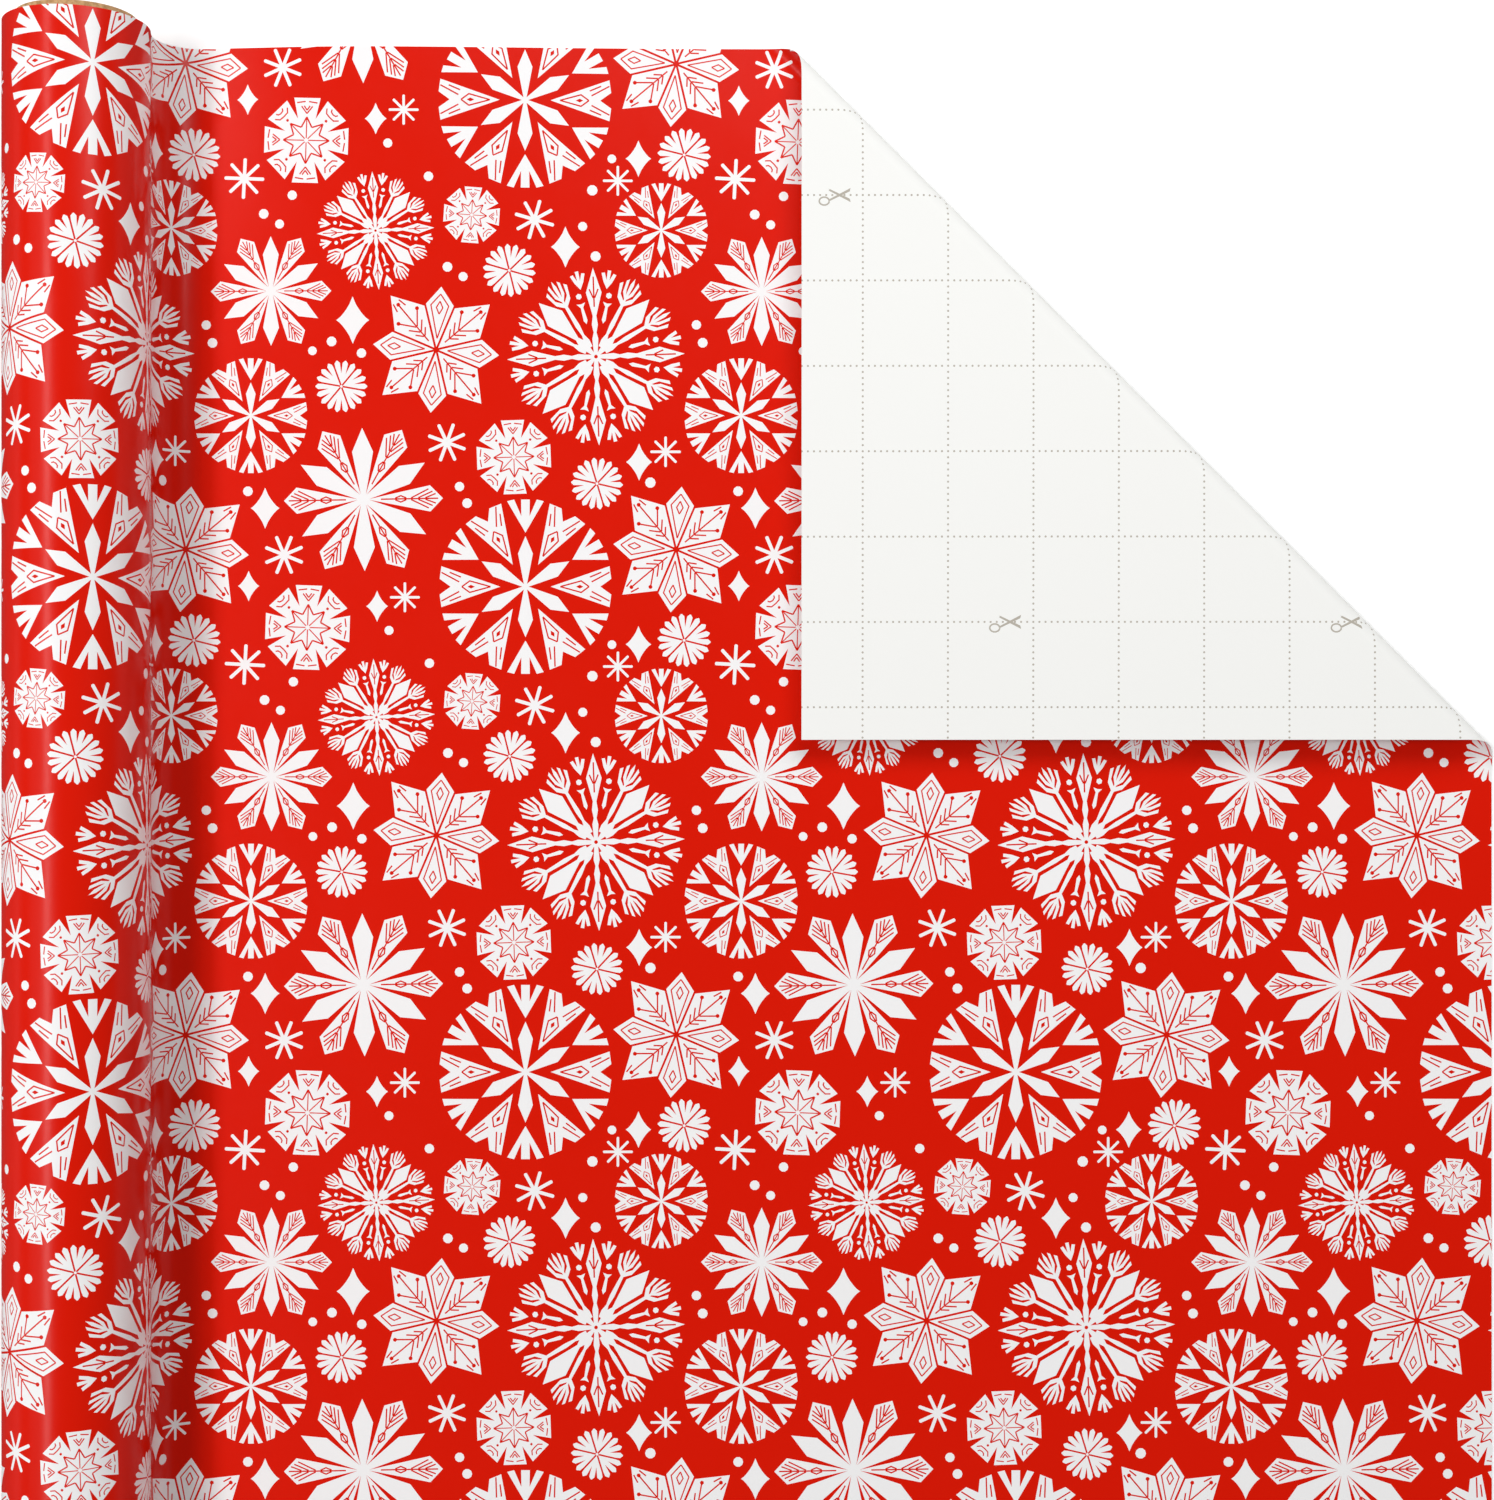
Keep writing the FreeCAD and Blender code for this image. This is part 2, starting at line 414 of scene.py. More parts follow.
def pinched_diamond():
    """A four-pointed spark with hollow sides, taller than wide."""
    width, hollow, steps = 0.7, 0.8, 5
    quarter = [(k / steps, (1 - (k / steps) ** hollow) ** (1 / hollow)) for k in range(steps + 1)]
    half = [(width * a, -b) for a, b in quarter] + [(width * a, b) for a, b in reversed(quarter[:-1])]
    return [(True, half + [(-a, b) for a, b in reversed(half[1:-1])])]


def dot():
    """A round dot."""
    return [(True, disc((0.0, 0.0), 1.0, 10))]


def lace_flake():
    """Four spears, four kites and eight arms that end in leafy fans, with buds and beads between."""
    spear = both_sides([
        (0.02, 0.02), (0.2, 0.034), (0.27, 0.016), (0.36, 0.034), (0.46, 0.02), (0.72, 0.088), (1.0, 0.0)])
    spear_marks = inked(0.013, [(0.56, 0.0), (0.9, 0.0)], [(0.66, 0.008), (0.76, 0.05)])
    kite = both_sides([(0.02, 0.012), (0.2, 0.05), (0.29, 0.02), (0.63, 0.118), (0.88, 0.0)])
    arm = both_sides([(0.12, 0.028), (0.2, 0.034), (0.28, 0.014), (0.4, 0.026), (0.7, 0.015)])
    fan = [(True, both_sides([(0.7, 0.012), (0.9, 0.02), (0.98, 0.0)]))]
    for side in (1, -1):
        leaf = [(0.72, 0.012), (0.79, 0.06), (0.92, 0.078), (0.95, 0.052), (0.83, 0.035), (0.76, 0.012)]
        spray = [(0.64, 0.012), (0.71, 0.09), (0.86, 0.135), (0.89, 0.105), (0.76, 0.075), (0.7, 0.012)]
        fan += [(True, [(a, side * s) for a, s in outline]) for outline in (leaf, spray)]
    bud = both_sides([(0.77, 0.0), (0.85, 0.05), (0.94, 0.085), (0.95, 0.05), (0.87, 0.016), (0.98, 0.02)])
    bone = both_sides([(0.38, 0.0), (0.42, 0.022), (0.57, 0.014), (0.62, 0.05), (0.61, 0.0)])
    shapes = ring_of(4, 45, [(True, kite)]) + ring_of(4, 0, [(True, spear)] + spear_marks)
    for side in (1, -1):
        shapes += ring_of(4, 29 * side, [(True, arm)] + fan)
        shapes += ring_of(4, 14 * side, [(True, disc((0.7, 0.0), 0.034, 6)), (True, bone)])
        shapes += ring_of(4, 11 * side, [(True, bud)])
    return shapes


# Where each motif stands in one repeat: along the web, across it from the far edge, radius (mm), tilt.
LAYOUT = (
    (snow_wheel, (158.1, 15.8, 26.3, 0), (75.2, 110.7, 17.3, 0), (199.1, 54.8, 14.2, 0)),
    (lace_flake, (179.4, 92.9, 26.8, -2), (113.1, 55.2, 17.7, -3)),
    (petal_star, (203.6, 4.6, 21.5, 5), (131.2, 90.9, 21.5, 5)),
    (twelve_petals, (109.2, 136.0, 24.0, -1), (81.4, 73.2, 18.3, 0)),
    (paddle_wheel, (92.3, 28.1, 12.9, 2), (142.0, 50.4, 8.5, 4), (154.6, 123.2, 11.3, -2)),
    (burst, (206.0, 32.0, 8.0, 4), (153.3, 67.0, 7.9, 6), (102.6, 101.9, 7.8, 0), (179.7, 131.2, 7.8, 3)),
    (asterisk, (85.2, 6.2, 6.1, 22), (160.9, 51.7, 6.1, 16), (134.4, 118.8, 6.0, 20), (73.4, 39.3, 6.1, 3),
     (121.7, 19.0, 4.5, 0), (186.0, 39.9, 4.5, 0), (200.4, 121.6, 4.6, 0)),
    (pinched_diamond, (74.5, 15.6, 4.6, 0), (113.3, 21.7, 4.7, 0), (192.2, 33.2, 5.5, 0),
     (170.2, 59.9, 6.2, 0), (106.1, 82.0, 7.1, 0), (79.5, 138.6, 6.2, 0), (192.4, 124.7, 5.6, 0)),
    (dot, (116.9, 29.0, 1.4, 0), (88.0, 44.5, 1.45, 0), (79.3, 50.0, 1.5, 0), (84.1, 53.1, 1.4, 0),
     (129.1, 38.9, 1.45, 0), (184.2, 33.3, 1.35, 0), (178.3, 42.8, 1.6, 0), (175.4, 53.7, 1.4, 0),
     (179.3, 62.7, 1.55, 0), (134.7, 66.0, 1.5, 0), (139.4, 68.9, 1.4, 0), (61.7, 83.3, 1.45, 0),
     (63.6, 88.7, 1.5, 0), (93.9, 91.2, 1.35, 0), (99.7, 88.4, 1.5, 0), (108.7, 91.9, 1.45, 0),
     (74.3, 133.5, 1.5, 0), (195.8, 130.9, 1.6, 0), (138.2, 132.1, 1.45, 0), (140.5, 137.1, 1.5, 0)),
)

INK, WHITE, BACK, GRID_INK = range(4)


def print_over(settings, low, high):
    """Every outline of the print that touches a rectangle of the web (mm), in painting order, and its ink."""
    repeat = np.array([settings.repeat_along, settings.repeat_across]) / MM
    outlines, inks = [], []
    for motif, *places in LAYOUT:
        shapes = motif()
        for u, v, radius, tilt in places:
            here = np.array([u + settings.offset / MM, v])
            first = np.ceil((low - radius - here) / repeat).astype(int)
            last = np.floor((high + radius - here) / repeat).astype(int)
            for i in range(first[0], last[0] + 1):
                for j in range(first[1], last[1] + 1):
                    for white, outline in shapes:
                        outlines.append(np.array(turned(outline, tilt)) * radius + here + repeat * (i, j))
                        inks.append(WHITE if white else INK)
    return outlines, inks


def open_scissors(size):
    """Open scissors, pointing along the cut: two finger loops and two crossed blades.
    Only the second loop comes out filled when the paper is cut, so the mark shows one loop."""
    shapes = []
    for side in (1, -1):
        loop = [
            (-0.62 + 0.3 * math.cos(t), side * (0.36 + 0.24 * math.sin(t)))
            for t in (2 * math.pi * k / 14 for k in range(15))
        ]
        shapes.append(stroke(loop, 0.09))
        shapes.append([(-0.36, side * 0.27), (0.95, side * -0.42), (0.9, side * -0.22), (-0.3, side * 0.36)])
    return [np.array(outline) * size for outline in shapes]


def grid_over(settings, web, low, high):
    """The cutting grid's dots, and open scissors on some of its lines, over a rectangle of the web (mm)."""
    pitch = settings.grid_pitch / MM
    gap = pitch / settings.dots_per_pitch
    from_edge = np.array([settings.grid_from_end, settings.grid_from_side]) / MM
    start = np.array([web.end - from_edge[0], from_edge[1]])
    first = np.floor((low - start) / gap).astype(int)
    last = np.ceil((high - start) / gap).astype(int)
    outlines = []
    for i in range(first[0], last[0] + 1):
        for j in range(first[1], last[1] + 1):
            if i % settings.dots_per_pitch == 0 or j % settings.dots_per_pitch == 0:
                outlines.append(np.array(disc(start + gap * np.array([i, j]), settings.dot_size / MM / 2, 6)))
    # Scissors stand two thirds of the way along a few sides of the squares.
    for back_along, across in ((1, 1.67), (1, 5.67), (6, -0.33)):
        place = start + pitch * np.array([-back_along, across])
        outlines += [outline[:, ::-1] + place for outline in open_scissors(settings.scissors_size / MM)]
    return outlines, [GRID_INK] * len(outlines)


# ---- Cutting and placing the paper ----

def cut_paper(border, base, slices, spacing, outlines=(), inks=()):
    """Triangles of a flat cut of paper and the ink on each. Slices are the lines along which it will curve.
    Also returns the corner that each point of the border became."""
    points, edges, faces = [tuple(p) for p in border], [], [list(range(len(border)))]
    for outline in outlines:
        around = outline if np.cross(outline, np.roll(outline, -1, axis=0)).sum() > 0 else outline[::-1]
        faces.append(list(range(len(points), len(points) + len(around))))
        points.extend(around.tolist())
    for start, end in slices:
        edges.append((len(points), len(points) + 1))
        points += [tuple(start), tuple(end)]
    low, high = np.min(border, axis=0), np.max(border, axis=0)
    steps = np.maximum(np.round((high - low) / spacing).astype(int), 1)
    for i in range(1, steps[0]):
        for j in range(1, steps[1]):
            points.append(tuple(low + (high - low) * (i, j) / steps))
    every_triangle, same_point = 0, 1e-4
    made, _, cells, made_from, _, inside_of = delaunay_2d_cdt(
        [Vector(p) for p in points], edges, faces, every_triangle, same_point, True)
    corners = np.array([(v.x, v.y) for v in made])
    # Face 0 is the border. Of the outlines over a triangle, the one painted last covers the others.
    kept = [(cell, max(found)) for cell, found in zip(cells, inside_of) if 0 in found]
    used, triangles = np.unique([cell for cell, top in kept], return_inverse=True)
    painted = np.array([base if top == 0 else inks[top - 1] for cell, top in kept])
    became = {
        point: k for k, corner in enumerate(used) for point in made_from[corner] if point < len(border)
    }
    return corners[used], triangles.reshape(-1, 3), painted, became


def outside_loop(triangles):
    """The corners round the outside of a patch of triangles, in order."""
    edges = {(a, b) for t in triangles.tolist() for a, b in zip(t, t[1:] + t[:1])}
    after = dict(edge for edge in edges if edge[::-1] not in edges)
    start = here = next(iter(after))
    loop = [start]
    while after[here] != start:
        here = after[here]
        loop.append(here)
    return loop


def surface(middle, flat):
    """Places on the paper's middle surface, and the normals on its printed side."""
    u, v = flat[:, 0], flat[:, 1]
    along = middle(u + NORMAL_STEP, v) - middle(u - NORMAL_STEP, v)
    across = middle(u, v + NORMAL_STEP) - middle(u, v - NORMAL_STEP)
    normals = np.cross(across, along)
    return middle(u, v), normals / np.linalg.norm(normals, axis=1, keepdims=True)


def paper_object(name, web, border, slices, middle, grid=False):
    """A cut of the web as a closed solid of the paper's gauge: printed side, back, and cut edges."""
    paper, prints = bpy.context.scene.gift_wrap_paper, bpy.context.scene.gift_wrap_print
    border = np.array(border, float)
    low, high = border.min(axis=0), border.max(axis=0)
    spacing, half = paper.mesh_size / MM, paper.gauge / MM / 2
    front, top, top_inks, _ = cut_paper(border, INK, slices, spacing, *print_over(prints, low, high))
    rim = outside_loop(top)
    marks = grid_over(prints, web, low, high) if grid else ((), ())
    back, under, under_inks, became = cut_paper(front[rim], BACK, slices, spacing, *marks)

    places, normals = surface(middle, front)
    back_places, back_normals = surface(middle, back)
    points = np.vstack([places + normals * half, back_places - back_normals * half])
    under = under + len(front)
    edge_faces = []
    for k in range(len(rim)):
        after = (k + 1) % len(rim)
        edge_faces.append((rim[k], rim[after], became[after] + len(front), became[k] + len(front)))
    faces = top[:, ::-1].tolist() + under.tolist() + edge_faces
    inks = np.concatenate([top_inks, under_inks, np.full(len(edge_faces), BACK)])

    item, corner = mesh_object(name, points, faces, inks, np.vstack([front, back]))
    smooth = np.arange(len(faces)) < len(top) + len(under)
    item.data.polygons.foreach_set("use_smooth", smooth)
    of_corner = np.vstack([normals, -back_normals])[corner]
    of_corner[3 * smooth.sum():] = 0  # the cut edges keep the flat normals of their faces
    item.data.normals_split_custom_set(of_corner.tolist())
    return item


def mesh_object(name, points, faces, inks, flat):
    """An object with these faces, each with its ink, from points in mm and their places on the web.
    Also returns the point at each corner of each face."""
    mesh = bpy.data.meshes.new(name)
    mesh.from_pydata((points * MM).tolist(), [], faces)
    mesh.polygons.foreach_set("material_index", np.array(inks, np.int32))
    corner = np.zeros(len(mesh.loops), np.int32)
    mesh.loops.foreach_get("vertex_index", corner)
    mesh.uv_layers.new(name="web").data.foreach_set("uv", (flat[corner] * MM).ravel())
    for material in paper_materials():
        mesh.materials.append(material)
    item = bpy.data.objects.new(name, mesh)
    bpy.context.scene.collection.objects.link(item)
    return item, corner


def paper_materials():
    """The paper's four materials, made once."""
    prints = bpy.context.scene.gift_wrap_print
    wanted = (
        ("Red gloss ink on coated paper", clay_coated_paper, prints.ink, 0.25),
        ("White coated paper", clay_coated_paper, prints.white, 0.3),
        ("Uncoated paper back", uncoated_paper, prints.back, 0.72),
        ("Grey grid ink on uncoated paper", uncoated_paper, prints.grid_ink, 0.7),
    )
    return [
        bpy.data.materials.get(name) or make(name, tuple(colour), roughness)
        for name, make, colour, roughness in wanted
    ]


class Web:
    """Where the web leaves the roll, meets the table, folds and ends (mm), from the CAD frame."""

    def __init__(self, paper):
        self.gauge = paper.gauge / MM
        roll_low, roll_high = (np.array(corner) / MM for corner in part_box("wound_paper"))
        flap_low, flap_high = (np.array(corner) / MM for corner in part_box("corner_flap"))
        self.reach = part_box("flat_sheet")[1].x / MM
        self.side = roll_high[1]
        self.width = roll_high[1] - roll_low[1]
        self.radius = (roll_high[2] - roll_low[2]) / 2
        self.axis = np.array([(roll_low[0] + roll_high[0]) / 2, (roll_low[2] + roll_high[2]) / 2])
        self.arc = paper.web_arc / MM
        self.leaving = math.acos((self.arc + self.gauge - self.radius) / (self.radius + self.arc))
        self.leaves = self.radius * self.leaving
        self.lands = self.leaves + self.arc * self.leaving
        self.landing = self.axis[0] + (self.radius + self.arc) * math.sin(self.leaving)
        self.end = self.lands + self.reach - self.landing
        self.bend = (flap_high[2] - self.gauge) / 2
        self.bend_length = math.pi * self.bend
        self.fold_top = flap_low[0] - self.bend_length / math.sqrt(2)
        self.fold_offset = self.fold_top - self.landing + self.lands
        self.edge_lift, self.ripple, self.droop = paper.edge_lift / MM, paper.ripple / MM, paper.droop / MM

    def on_roll(self, u, v):
        """The outermost turn."""
        angle = u / self.radius
        radius = self.radius - self.gauge / 2
        return np.stack([
            self.axis[0] + radius * np.sin(angle), self.side - v, self.axis[1] + radius * np.cos(angle)
        ], axis=1)

    def height(self, u, v):
        """How far the sheet lifts off the table: a wave at the far edge, and a slow ripple."""
        wave_length, wave_depth, calm = 165, 80, 40
        across = np.clip((u - self.lands) / wave_length, 0, 1)
        lift = self.edge_lift * np.sin(math.pi * across ** 0.6) ** 2 * np.exp(-(v / wave_depth) ** 2)
        # The ripple dies out smoothly towards the arc and the fold, so the sheet meets both exactly.
        from_arc = np.clip((u - self.lands) / calm, 0, 1)
        from_fold = np.clip((self.fold_offset - u + v) / calm, 0, 1)
        inside = from_arc * from_fold
        inside = inside ** 2 * (3 - 2 * inside)
        slow = 0.5 + 0.3 * np.sin(u / 31 + v / 90) + 0.2 * np.sin(v / 47 - u / 120 + 1)
        return lift + self.ripple * slow * inside

    def on_table(self, u, v):
        """The hollow arc down from the roll, then the sheet on the table."""
        turn = self.leaving - (np.clip(u, self.leaves, self.lands) - self.leaves) / self.arc
        radius = self.arc + self.gauge / 2
        x = self.landing - radius * np.sin(turn) + np.maximum(u - self.lands, 0)
        z = self.arc + self.gauge - radius * np.cos(turn) + np.where(u > self.lands, self.height(u, v), 0)
        return np.stack([x, self.side - v, z], axis=1)

    def on_fold(self, u, v):
        """The soft fold, and the corner turned over it, which sags more the farther it is from the fold."""
        sag_reach = 140
        past = (u - v - self.fold_offset) / math.sqrt(2)
        along = (u + v - self.fold_offset) / math.sqrt(2)
        angle = np.clip(past / self.bend, 0, math.pi)
        beyond = np.maximum(past - self.bend_length, 0)
        out = np.minimum(past, 0) + self.bend * np.sin(angle) - beyond
        z = self.gauge / 2 + self.bend * (1 - np.cos(angle)) - self.droop * (beyond / sag_reach) ** 2
        x = self.fold_top + (along + out) / math.sqrt(2)
        y = self.side - (along - out) / math.sqrt(2)
        return np.stack([x, y, z], axis=1)

    def past_fold(self, distance):
        """Where a line that far past the fold's start crosses the web's side and its end."""
        return (self.fold_offset + math.sqrt(2) * distance, 0.0), (
            self.end, self.end - self.fold_offset - math.sqrt(2) * distance)


def lines_across(web, start, end, count):
    """Slices straight across the web."""
    return [((u, 0.0), (u, web.width)) for u in np.linspace(start, end, count + 1)[1:-1]]


# ---- Operators, one for each group of pieces ----

class GIFTWRAP_OT_drawn_sheet(bpy.types.Operator):
    """The sheet drawn off the roll: a hollow arc, then flat on the table up to the fold"""
    bl_idname = "gift_wrap.drawn_sheet"
    bl_label = "Drawn sheet"

    def execute(self, context):
        web = Web(context.scene.gift_wrap_paper)
        side, end = web.past_fold(0)
        border = [(web.leaves, 0), side, end, (web.end, web.width), (web.leaves, web.width)]
        arc_strips = 11
        slices = lines_across(web, web.leaves, web.lands, arc_strips)
        slices.append(((web.lands, 0), (web.lands, web.width)))
        item = paper_object("drawn_sheet", web, border, slices, web.on_table)
        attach(item, "sheet")
        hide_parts("unrolling_web", "flat_sheet")
        return {"FINISHED"}


class GIFTWRAP_OT_soft_fold(bpy.types.Operator):
    """The fold, in four soft strips, one between each pair of neighbouring bodies; the strips are not
    attached to any body
    """
    bl_idname = "gift_wrap.soft_fold"
    bl_label = "Soft fold"

    def execute(self, context):
        web = Web(context.scene.gift_wrap_paper)
        bodies = ("sheet", "bend_1", "bend_2", "bend_3", "flap")
        pieces, strips = len(bodies) - 1, 6
        piece_length = web.bend_length / pieces
        for k in range(pieces):
            first, last = web.past_fold(piece_length * k), web.past_fold(piece_length * (k + 1))
            border = [first[0], last[0], last[1], first[1]]
            slices = [web.past_fold(piece_length * (k + step / strips)) for step in range(1, strips)]
            item = paper_object(f"soft_fold_{k + 1}", web, border, slices, web.on_fold, grid=True)
            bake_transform(item)
            if k < 3:  # the CAD part has three bend nodes between its four hinges
                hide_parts(f"corner_bend_{k + 1}")
        return {"FINISHED"}


class GIFTWRAP_OT_printed_flap(bpy.types.Operator):
    """The corner turned over, back side up with its cutting grid"""
    bl_idname = "gift_wrap.printed_flap"
    bl_label = "Printed flap"

    def execute(self, context):
        web = Web(context.scene.gift_wrap_paper)
        side, end = web.past_fold(web.bend_length)
        item = paper_object("printed_flap", web, [side, (web.end, 0), end], [], web.on_fold, grid=True)
        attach(item, "flap")
        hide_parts("corner_flap")
        return {"FINISHED"}


class GIFTWRAP_OT_wound_roll(bpy.types.Operator):
    """The outermost printed turn, and the wound turns below it with their edges at the roll's ends"""
    bl_idname = "gift_wrap.wound_roll"
    bl_label = "Wound roll"

    def execute(self, context):
        web = Web(context.scene.gift_wrap_paper)
        once_round = 2 * math.pi * web.radius
        first = web.leaves - once_round
        border = [(first, 0), (web.leaves, 0), (web.leaves, web.width), (first, web.width)]
        strips = 60
        turn = paper_object(
            "printed_turn", web, border, lines_across(web, first, web.leaves, strips), web.on_roll)
        wound = self.wound_turns(context.scene.gift_wrap_paper, web)
        for item in (turn, wound):
            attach(item, "roll")
        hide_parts("wound_paper")
        return {"FINISHED"}

    def wound_turns(self, paper, web):
        """The wind as a closed ring, with one long spiral of paper edge laid over each of its ends."""
        core_low, core_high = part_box("core_outer_ply")
        inner_radius = (core_high.z - core_low.z) / MM / 2 + START_GLUE
        outer_radius = web.radius - web.gauge - WIND_CLEARANCE
        pitch = (outer_radius - inner_radius) / (paper.drawn_turns + 1)
        count = paper.drawn_turns * ROUND_STEPS
        turns = np.arange(count + 1) / ROUND_STEPS
        angle = 2 * math.pi * turns
        # Turns that slipped a little along the roll while it was wound stand out of its ends.
        slip = 0.12 * np.sin(turns * 1.7) + 0.07 * np.sin(turns * 4.1 + 1) + 0.05 * np.sin(angle + turns)
        set_back = 0.22  # mm from the web's side to where the turns' edges lie on the whole
        # One turn's edge, from the inside out: share of the pitch, height (mm), and which face shows.
        profile = (
            (0.0, -0.25, INK), (0.12, -0.03, BACK), (0.3, 0.0, BACK), (0.85, 0.0, BACK), (1.0, -0.04, INK))
        points, faces, inks = [], [], []

        def ring(radius, angles, y):
            """Adds points round the axis and says which is the first."""
            first = len(points)
            x, z = web.axis[0] + radius * np.sin(angles), web.axis[1] + radius * np.cos(angles)
            points.extend(np.stack([x, y, z], axis=1).tolist())
            return first

        for end in (1, -1):
            side = web.side - set_back + slip
            rows = [
                ring(inner_radius + pitch * (turns + share), angle, end * (side + height))
                for share, height, ink in profile
            ]
            for k in range(len(profile) - 1):
                for i in range(count):
                    face = (rows[k] + i, rows[k + 1] + i, rows[k + 1] + i + 1, rows[k] + i + 1)
                    faces.append(face if end > 0 else face[::-1])
                    inks.append(profile[k][2])
        once_round = 2 * math.pi * np.arange(ROUND_STEPS) / ROUND_STEPS
        outer_far, outer_near, inner_far, inner_near = (
            ring(radius, once_round, np.full(ROUND_STEPS, end * (web.side - WIND_INSET)))
            for radius in (outer_radius, inner_radius) for end in (1, -1)
        )
        walls = (
            (outer_far, outer_near), (inner_near, inner_far),
            (inner_far, outer_far), (outer_near, inner_near),
        )
        for first, second in walls:
            for i in range(ROUND_STEPS):
                j = (i + 1) % ROUND_STEPS
                faces.append((first + i, second + i, second + j, first + j))
                inks.append(BACK)
        points = np.array(points)
        item, _ = mesh_object("wound_turns", points, faces, inks, points[:, [0, 2]] + points[:, [1]])
        return item


class GIFTWRAP_OT_core(bpy.types.Operator):
    """The board plies of the core and the line of glue that starts the wind"""
    bl_idname = "gift_wrap.core"
    bl_label = "Core"

    def execute(self, context):
        board = wound_board("Spiral-wound chipboard")
        glue = dried_glue("Dried dextrin glue")
        for name in ("core_inner_ply", "core_middle_ply", "core_outer_ply", "start_glue_line"):
            item = bpy.data.objects[name]
            item.data.materials.clear()
            item.data.materials.append(glue if name == "start_glue_line" else board)
        return {"FINISHED"}


class GIFTWRAP_OT_declare_sheets(bpy.types.Operator):
    """Does nothing yet: it returns at once, and gives no flat sizes and no supports"""
    bl_idname = "gift_wrap.declare_sheets"
    bl_label = "Declare sheets"

    def execute(self, context):
        return {"FINISHED"}


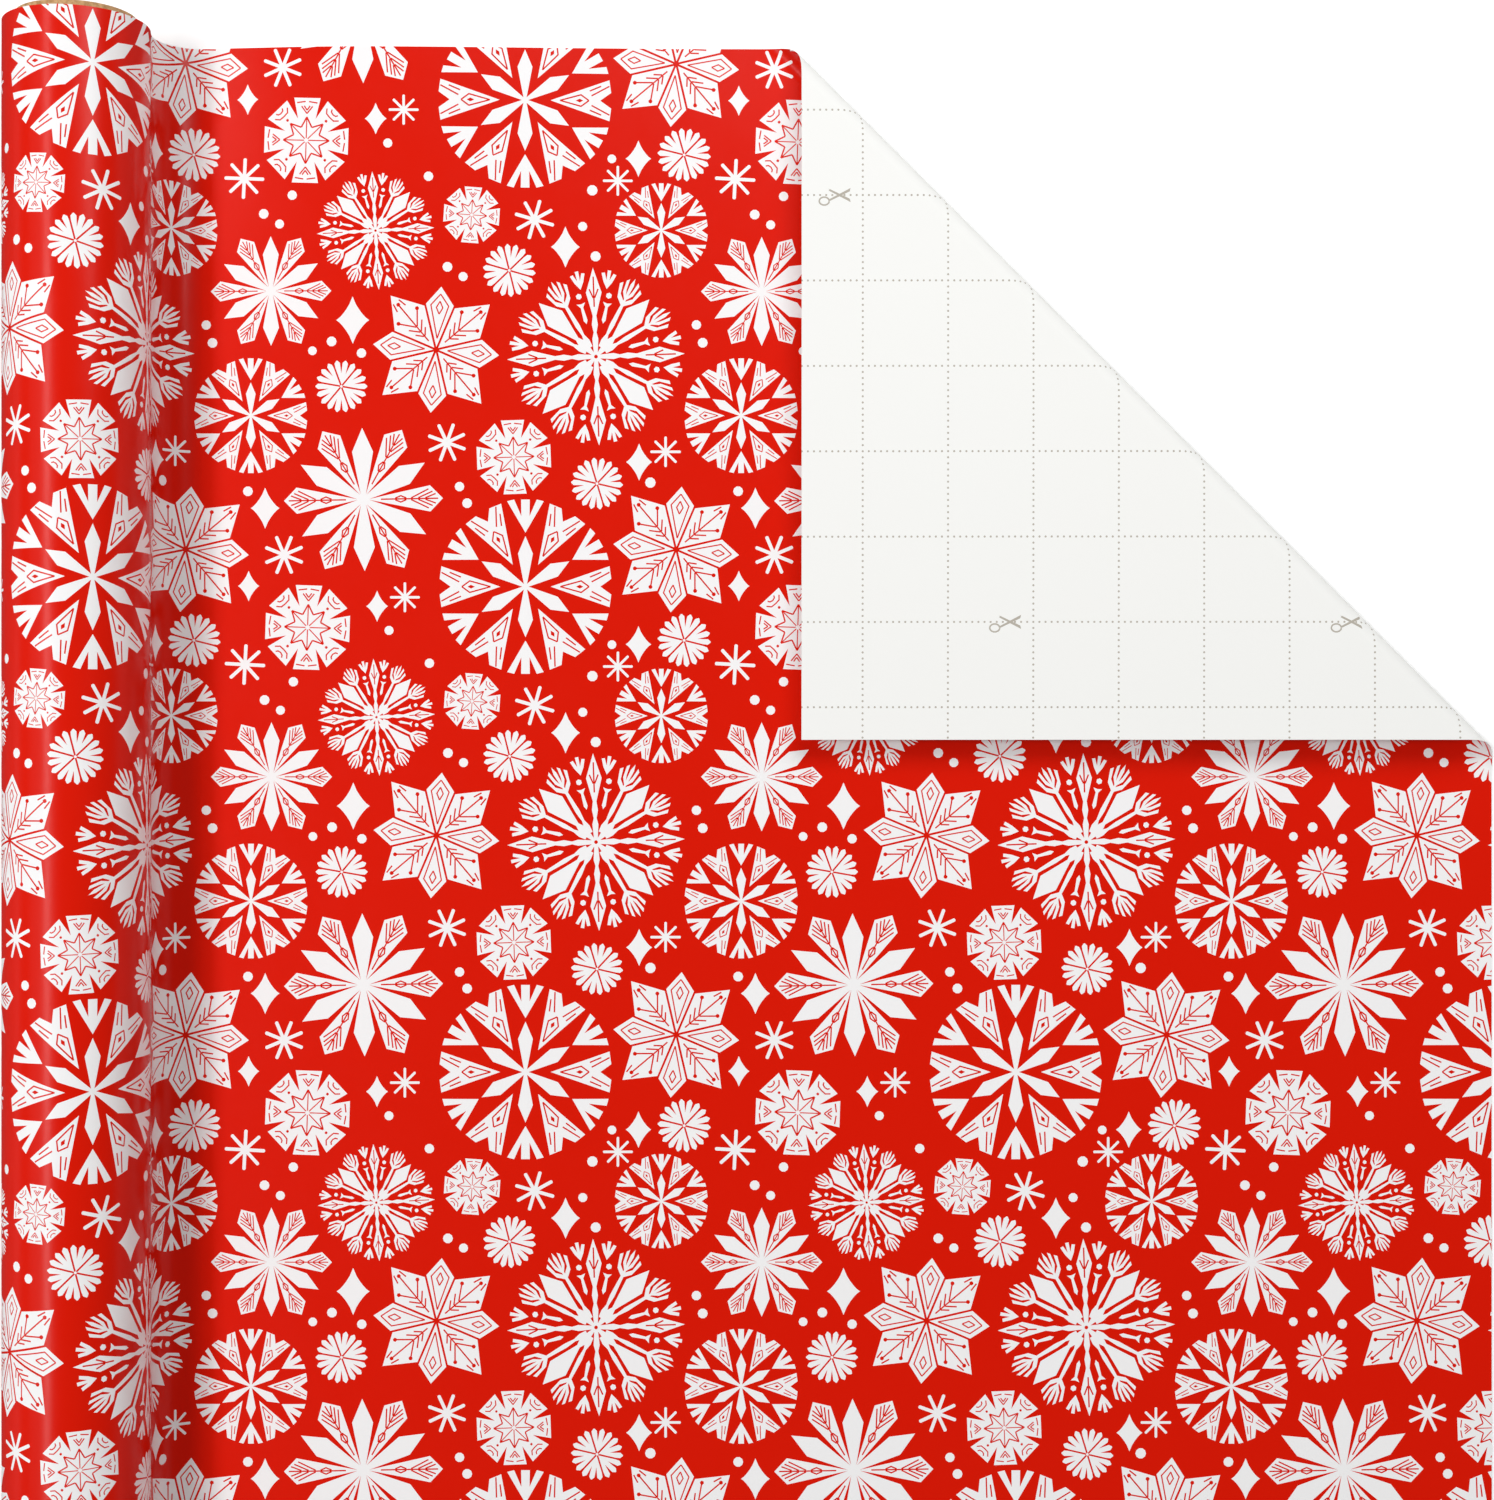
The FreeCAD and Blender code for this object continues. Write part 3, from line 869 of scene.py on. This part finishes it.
class GIFTWRAP_OT_stage(bpy.types.Operator):
    """A pale floor, soft studio light and a camera straight above"""
    bl_idname = "gift_wrap.stage"
    bl_label = "Stage"

    def execute(self, context):
        scene, settings = context.scene, context.scene.gift_wrap_stage
        self.floor(scene, settings)
        self.overhead_light(scene, settings)
        self.softboxes(scene, settings)
        self.walls(scene, settings)
        self.camera(scene, settings)
        scene.view_settings.view_transform = "Standard"
        return {"FINISHED"}

    def floor(self, scene, settings):
        """A white table with no visible end. The gloss doesn't mirror it, so that the flanks stay deep."""
        mesh = bpy.data.meshes.new("floor")
        sides = ((-1, -1), (1, -1), (1, 1), (-1, 1))
        mesh.from_pydata([(x * FLOOR_REACH, y * FLOOR_REACH, 0) for x, y in sides], [], [(0, 1, 2, 3)])
        floor = bpy.data.objects.new("floor", mesh)
        floor.location.z = -FLOOR_GAP
        floor.visible_glossy = False
        scene.collection.objects.link(floor)
        material, tree, shader = new_material("Matt white board", linear("FCFCFC"), 0.8)
        where = add_node(tree, "ShaderNodeTexCoord").outputs["Object"]
        tree.links.new(bump(tree, noise(tree, where, 6.0), 0.02), shader.inputs["Normal"])
        shader.inputs["Emission Color"].default_value = (1, 1, 1, 1)
        shader.inputs["Emission Strength"].default_value = settings.table_glow
        mesh.materials.append(material)

    def overhead_light(self, scene, settings):
        """The main light, through a crossed polariser, so that the gloss doesn't mirror it."""
        light = bpy.data.lights.new("overhead_light", "SUN")
        light.energy, light.angle = settings.overhead_power, settings.overhead_spread
        lamp = bpy.data.objects.new("overhead_light", light)
        lamp.rotation_euler = (0, -settings.overhead_tilt, 0)
        lamp.visible_glossy = False
        scene.collection.objects.link(lamp)

    def softboxes(self, scene, settings):
        """One softbox beyond the sheet, and two beside the roll that run along its gloss."""
        # Each one's place, where it points, its length, width and power.
        softboxes = (
            ("far_softbox", (0.33, 1.0, 1.0), (0.0, 0.17, 0.0), 1.0, 0.6, settings.far_power),
            ("side_softbox", (-1.0, 0.17, 0.8), (-0.2, 0.17, 0.02), 1.2, 0.55, settings.side_power),
            ("side_strip", (-0.72, 0.17, 0.95), (-0.2, 0.17, 0.02), 1.2, 0.12, settings.strip_power),
        )
        for name, place, target, length, width, power in softboxes:
            light = bpy.data.lights.new(name, "AREA")
            light.shape, light.size, light.size_y, light.energy = "RECTANGLE", length, width, power
            lamp = bpy.data.objects.new(name, light)
            lamp.location = place
            lamp.rotation_euler = (Vector(target) - Vector(place)).to_track_quat("-Z", "Y").to_euler()
            scene.collection.objects.link(lamp)

    def walls(self, scene, settings):
        """Pale walls that run on from the table at the horizon, and a dim room above them."""
        world = bpy.data.worlds.new("studio")
        world.use_nodes = True
        tree = world.node_tree
        way = add_node(tree, "ShaderNodeTexCoord").outputs["Generated"]
        up = add_node(tree, "ShaderNodeSeparateXYZ", [("Vector", way)]).outputs["Z"]
        # From straight down at 0, through the horizon at a half, to straight up at 1.
        share = add_node(tree, "ShaderNodeMapRange", [("Value", up), ("From Min", -1.0)]).outputs["Result"]
        ramp = add_node(tree, "ShaderNodeValToRGB", [("Fac", share)])
        fill, wall = settings.fill_strength, settings.wall_strength
        for stop in ramp.color_ramp.elements:
            stop.color = (fill, fill, fill, 1.0)
        levels = ((0.485, fill), (0.49, wall), (0.51, wall), (0.54, 0.8 * wall), (0.62, fill))
        for position, level in levels:
            stop = ramp.color_ramp.elements.new(position)
            stop.color = (level, level, level, 1.0)
        tree.links.new(ramp.outputs["Color"], tree.nodes["Background"].inputs["Color"])
        tree.nodes["Background"].inputs["Strength"].default_value = 1.0
        scene.world = world

    def camera(self, scene, settings):
        """A camera that looks straight down."""
        camera_data = bpy.data.cameras.new("camera")
        camera_data.lens = settings.lens
        camera = bpy.data.objects.new("camera", camera_data)
        camera.location = (*settings.camera_place, settings.camera_height)
        scene.collection.objects.link(camera)
        scene.camera = camera


OPERATORS = (
    GIFTWRAP_OT_drawn_sheet, GIFTWRAP_OT_soft_fold, GIFTWRAP_OT_printed_flap, GIFTWRAP_OT_wound_roll,
    GIFTWRAP_OT_core, GIFTWRAP_OT_declare_sheets, GIFTWRAP_OT_stage,
)


class GIFTWRAP_PT_panel(bpy.types.Panel):
    """The settings, and the operators in building order"""
    bl_label = "Gift wrap roll"
    bl_idname = "GIFTWRAP_PT_panel"
    bl_space_type = "VIEW_3D"
    bl_region_type = "UI"
    bl_category = "Gift wrap"

    def draw(self, context):
        for group in ("gift_wrap_paper", "gift_wrap_print", "gift_wrap_stage"):
            box = self.layout.box()
            settings = getattr(context.scene, group)
            for name in settings.__annotations__:
                box.prop(settings, name)
        for operator in OPERATORS:
            self.layout.operator(operator.bl_idname)


GROUPS = (GiftWrapPaper, GiftWrapPrint, GiftWrapStage)


def register():
    for cls in (*GROUPS, *OPERATORS, GIFTWRAP_PT_panel):
        bpy.utils.register_class(cls)
    bpy.types.Scene.gift_wrap_paper = PointerProperty(type=GiftWrapPaper)
    bpy.types.Scene.gift_wrap_print = PointerProperty(type=GiftWrapPrint)
    bpy.types.Scene.gift_wrap_stage = PointerProperty(type=GiftWrapStage)


def unregister():
    del bpy.types.Scene.gift_wrap_stage
    del bpy.types.Scene.gift_wrap_print
    del bpy.types.Scene.gift_wrap_paper
    for cls in (GIFTWRAP_PT_panel, *reversed(OPERATORS), *reversed(GROUPS)):
        bpy.utils.unregister_class(cls)


def main():
    register()
    bpy.ops.gift_wrap.drawn_sheet()
    bpy.ops.gift_wrap.soft_fold()
    bpy.ops.gift_wrap.printed_flap()
    bpy.ops.gift_wrap.wound_roll()
    bpy.ops.gift_wrap.core()
    bpy.ops.gift_wrap.declare_sheets()
    bpy.ops.gift_wrap.stage()


if __name__ == "__main__":
    main()
